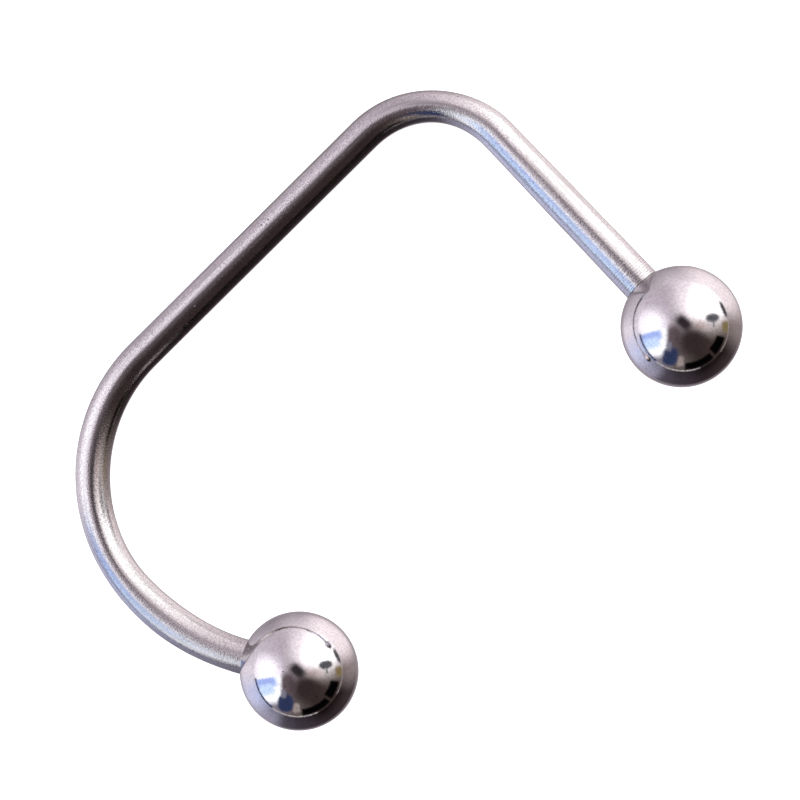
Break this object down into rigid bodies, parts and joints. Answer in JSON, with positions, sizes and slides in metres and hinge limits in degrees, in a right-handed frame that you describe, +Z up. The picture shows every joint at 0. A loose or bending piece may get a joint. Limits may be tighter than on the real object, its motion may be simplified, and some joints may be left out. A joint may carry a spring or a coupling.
{
  "type": "lip ring",
  "caption": "Hook-shaped lip ring of bent round steel wire: a straight post, a tight bend and a wide curve, with a screw-on ball at each end.",
  "frame": {"origin": "on the table, under the middle of the whole object's box", "axes": "+X along the back of the hook, towards the post; +Y from the balls towards the back; +Z up from the table that it lies on"},
  "size_m": [0.0222, 0.0146, 0.004],
  "materials": {
    "wire": "drawn stainless steel wire, satin with fine pits and a brighter turned stretch near the post's ball",
    "balls": "mirror-polished surgical steel with hairline scratches"
  },
  "bodies": {
    "bar": {"bar": "wire"},
    "post_ball": {"post_ball": "balls"},
    "curve_ball": {"curve_ball": "balls"}
  },
  "joints": [
    {"name": "post_ball_unscrew", "type": "slide", "parent": "bar", "child": "post_ball", "axis": [0.0002, -0.9932, 0.1162], "range_m": [0, 0.012]},
    {"name": "curve_ball_unscrew", "type": "slide", "parent": "bar", "child": "curve_ball", "axis": [0.5521, -0.8284, 0.0948], "range_m": [0, 0.004]}
  ]
}
